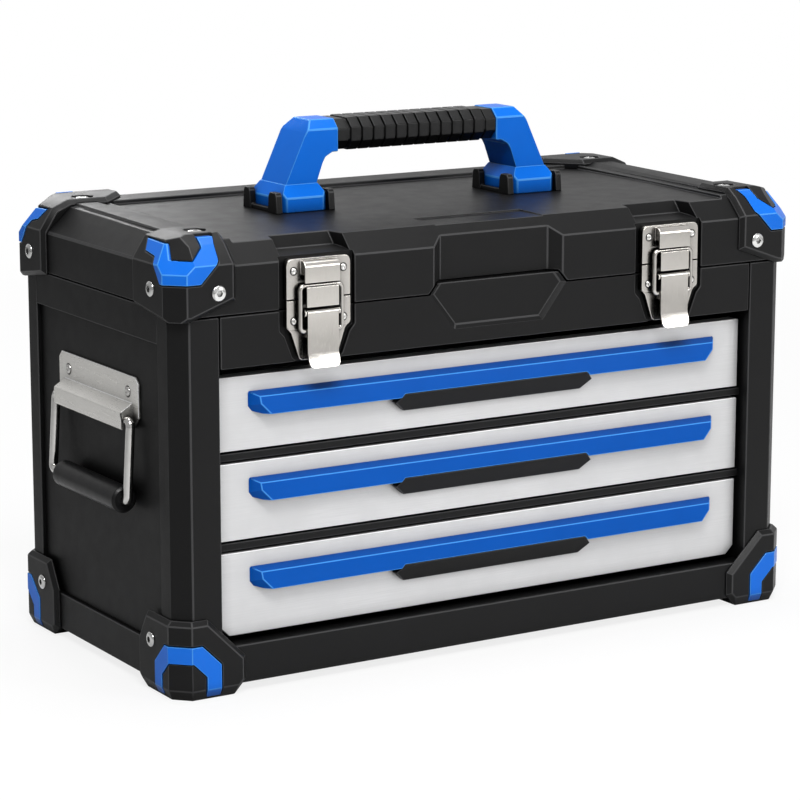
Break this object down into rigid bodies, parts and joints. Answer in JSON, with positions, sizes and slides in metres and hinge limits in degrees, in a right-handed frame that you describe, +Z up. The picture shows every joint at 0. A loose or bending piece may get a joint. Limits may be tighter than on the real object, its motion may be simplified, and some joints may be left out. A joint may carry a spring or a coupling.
{
  "type": "portable tool box with drawers",
  "caption": "Portable tool box with a hinged lid over a top tray, sliding drawers below, draw latches, corner guards, a fixed carry handle on the lid and swinging side handles.",
  "frame": {"origin": "on the floor plane under the middle of the body, at the bottom of the feet", "axes": "+Z up, +X to the right seen from the drawer side, -Y out of the drawer side"},
  "size_m": [0.4882, 0.2347, 0.3366],
  "materials": {
    "body_black": "satin, fine moulded grain",
    "panel_black": "satin, fine moulded grain",
    "guard_black": "matte",
    "trim_blue": "satin gloss",
    "handle_blue": "satin gloss",
    "pull_blue": "satin gloss",
    "insert_black": "matte",
    "tray_grey": "semi-gloss paint",
    "drawer_silver": "silver satin lacquer, finely brushed",
    "runner_zinc": "zinc plated",
    "latch_nickel": "satin nickel plate",
    "handle_plate_steel": "satin nickel plate",
    "bail_chrome": "polished",
    "rivet_steel": "polished heads",
    "screw_chrome": "polished",
    "hinge_black": "black paint",
    "grip_rubber": "matte rubber"
  },
  "bodies": {
    "case": {"side_panel_left": "panel_black", "side_panel_right": "panel_black", "back_panel": "panel_black", "bottom_panel": "panel_black", "corner_posts": "body_black", "base_frame": "body_black", "upper_front_panel": "body_black", "compartment_floor": "tray_grey", "drawer_crossbars": "panel_black", "case_runners": "runner_zinc", "foot_guard_fl": "guard_black", "foot_guard_fr": "guard_black", "foot_guard_bl": "guard_black", "foot_guard_br": "guard_black", "foot_guard_trims": "trim_blue", "foot_guard_screws": "screw_chrome", "latch_bases": "latch_nickel", "side_handle_plate_left": "handle_plate_steel", "side_handle_plate_right": "handle_plate_steel", "case_rivets": "rivet_steel", "hinge_case_leaves": "hinge_black", "hinge_pins": "rivet_steel"},
    "lid": {"lid_shell": "body_black", "lid_guard_fl": "guard_black", "lid_guard_fr": "guard_black", "lid_guard_bl": "guard_black", "lid_guard_br": "guard_black", "lid_guard_trims": "trim_blue", "lid_guard_screws": "screw_chrome", "latch_keepers": "latch_nickel", "lid_rivets": "rivet_steel", "handle_brackets": "guard_black", "hinge_lid_leaves": "hinge_black", "handle_arm_left": "handle_blue", "handle_arm_right": "handle_blue", "handle_grip": "grip_rubber"},
    "side_handle_left": {"side_bail_left": "bail_chrome", "side_grip_left": "grip_rubber"},
    "latch_lever_left": {"latch_lever_left": "latch_nickel"},
    "latch_loop_left": {"latch_loop_left": "latch_nickel"},
    "side_handle_right": {"side_bail_right": "bail_chrome", "side_grip_right": "grip_rubber"},
    "latch_lever_right": {"latch_lever_right": "latch_nickel"},
    "latch_loop_right": {"latch_loop_right": "latch_nickel"},
    "drawer_1": {"drawer_1_tray": "tray_grey", "drawer_1_front": "drawer_silver", "drawer_1_pull": "pull_blue", "drawer_1_insert": "insert_black", "drawer_1_rails": "runner_zinc"},
    "drawer_2": {"drawer_2_tray": "tray_grey", "drawer_2_front": "drawer_silver", "drawer_2_pull": "pull_blue", "drawer_2_insert": "insert_black", "drawer_2_rails": "runner_zinc"},
    "drawer_3": {"drawer_3_tray": "tray_grey", "drawer_3_front": "drawer_silver", "drawer_3_pull": "pull_blue", "drawer_3_insert": "insert_black", "drawer_3_rails": "runner_zinc"}
  },
  "joints": [
    {"name": "lid_hinge", "type": "hinge", "parent": "case", "child": "lid", "pos_m": [0, 0.11235, 0.233], "axis": [-1, 0, 0], "range_deg": [0, 100]},
    {"name": "side_handle_left_swing", "type": "hinge", "parent": "case", "child": "side_handle_left", "pos_m": [-0.2326, 0, 0.16475], "axis": [0, 1, 0], "range_deg": [0, 85]},
    {"name": "latch_lever_left_pivot", "type": "hinge", "parent": "case", "child": "latch_lever_left", "pos_m": [-0.1322, -0.11335, 0.2329], "axis": [-1, 0, 0], "range_deg": [0, 120]},
    {"name": "latch_loop_left_pivot", "type": "hinge", "parent": "latch_lever_left", "child": "latch_loop_left", "pos_m": [-0.1322, -0.11305, 0.2219], "axis": [-1, 0, 0], "range_deg": [-132, 0]},
    {"name": "side_handle_right_swing", "type": "hinge", "parent": "case", "child": "side_handle_right", "pos_m": [0.2326, 0, 0.16475], "axis": [0, -1, 0], "range_deg": [0, 85]},
    {"name": "latch_lever_right_pivot", "type": "hinge", "parent": "case", "child": "latch_lever_right", "pos_m": [0.1322, -0.11335, 0.2329], "axis": [-1, 0, 0], "range_deg": [0, 120]},
    {"name": "latch_loop_right_pivot", "type": "hinge", "parent": "latch_lever_right", "child": "latch_loop_right", "pos_m": [0.1322, -0.11305, 0.2219], "axis": [-1, 0, 0], "range_deg": [-132, 0]},
    {"name": "drawer_1_slide", "type": "slide", "parent": "case", "child": "drawer_1", "axis": [0, -1, 0], "range_m": [0, 0.16]},
    {"name": "drawer_2_slide", "type": "slide", "parent": "case", "child": "drawer_2", "axis": [0, -1, 0], "range_m": [0, 0.16]},
    {"name": "drawer_3_slide", "type": "slide", "parent": "case", "child": "drawer_3", "axis": [0, -1, 0], "range_m": [0, 0.16]}
  ],
  "couplings": [
    {"joint": "latch_loop_left_pivot", "follows": "latch_lever_left_pivot", "ratio": -1.1},
    {"joint": "latch_loop_right_pivot", "follows": "latch_lever_right_pivot", "ratio": -1.1}
  ]
}
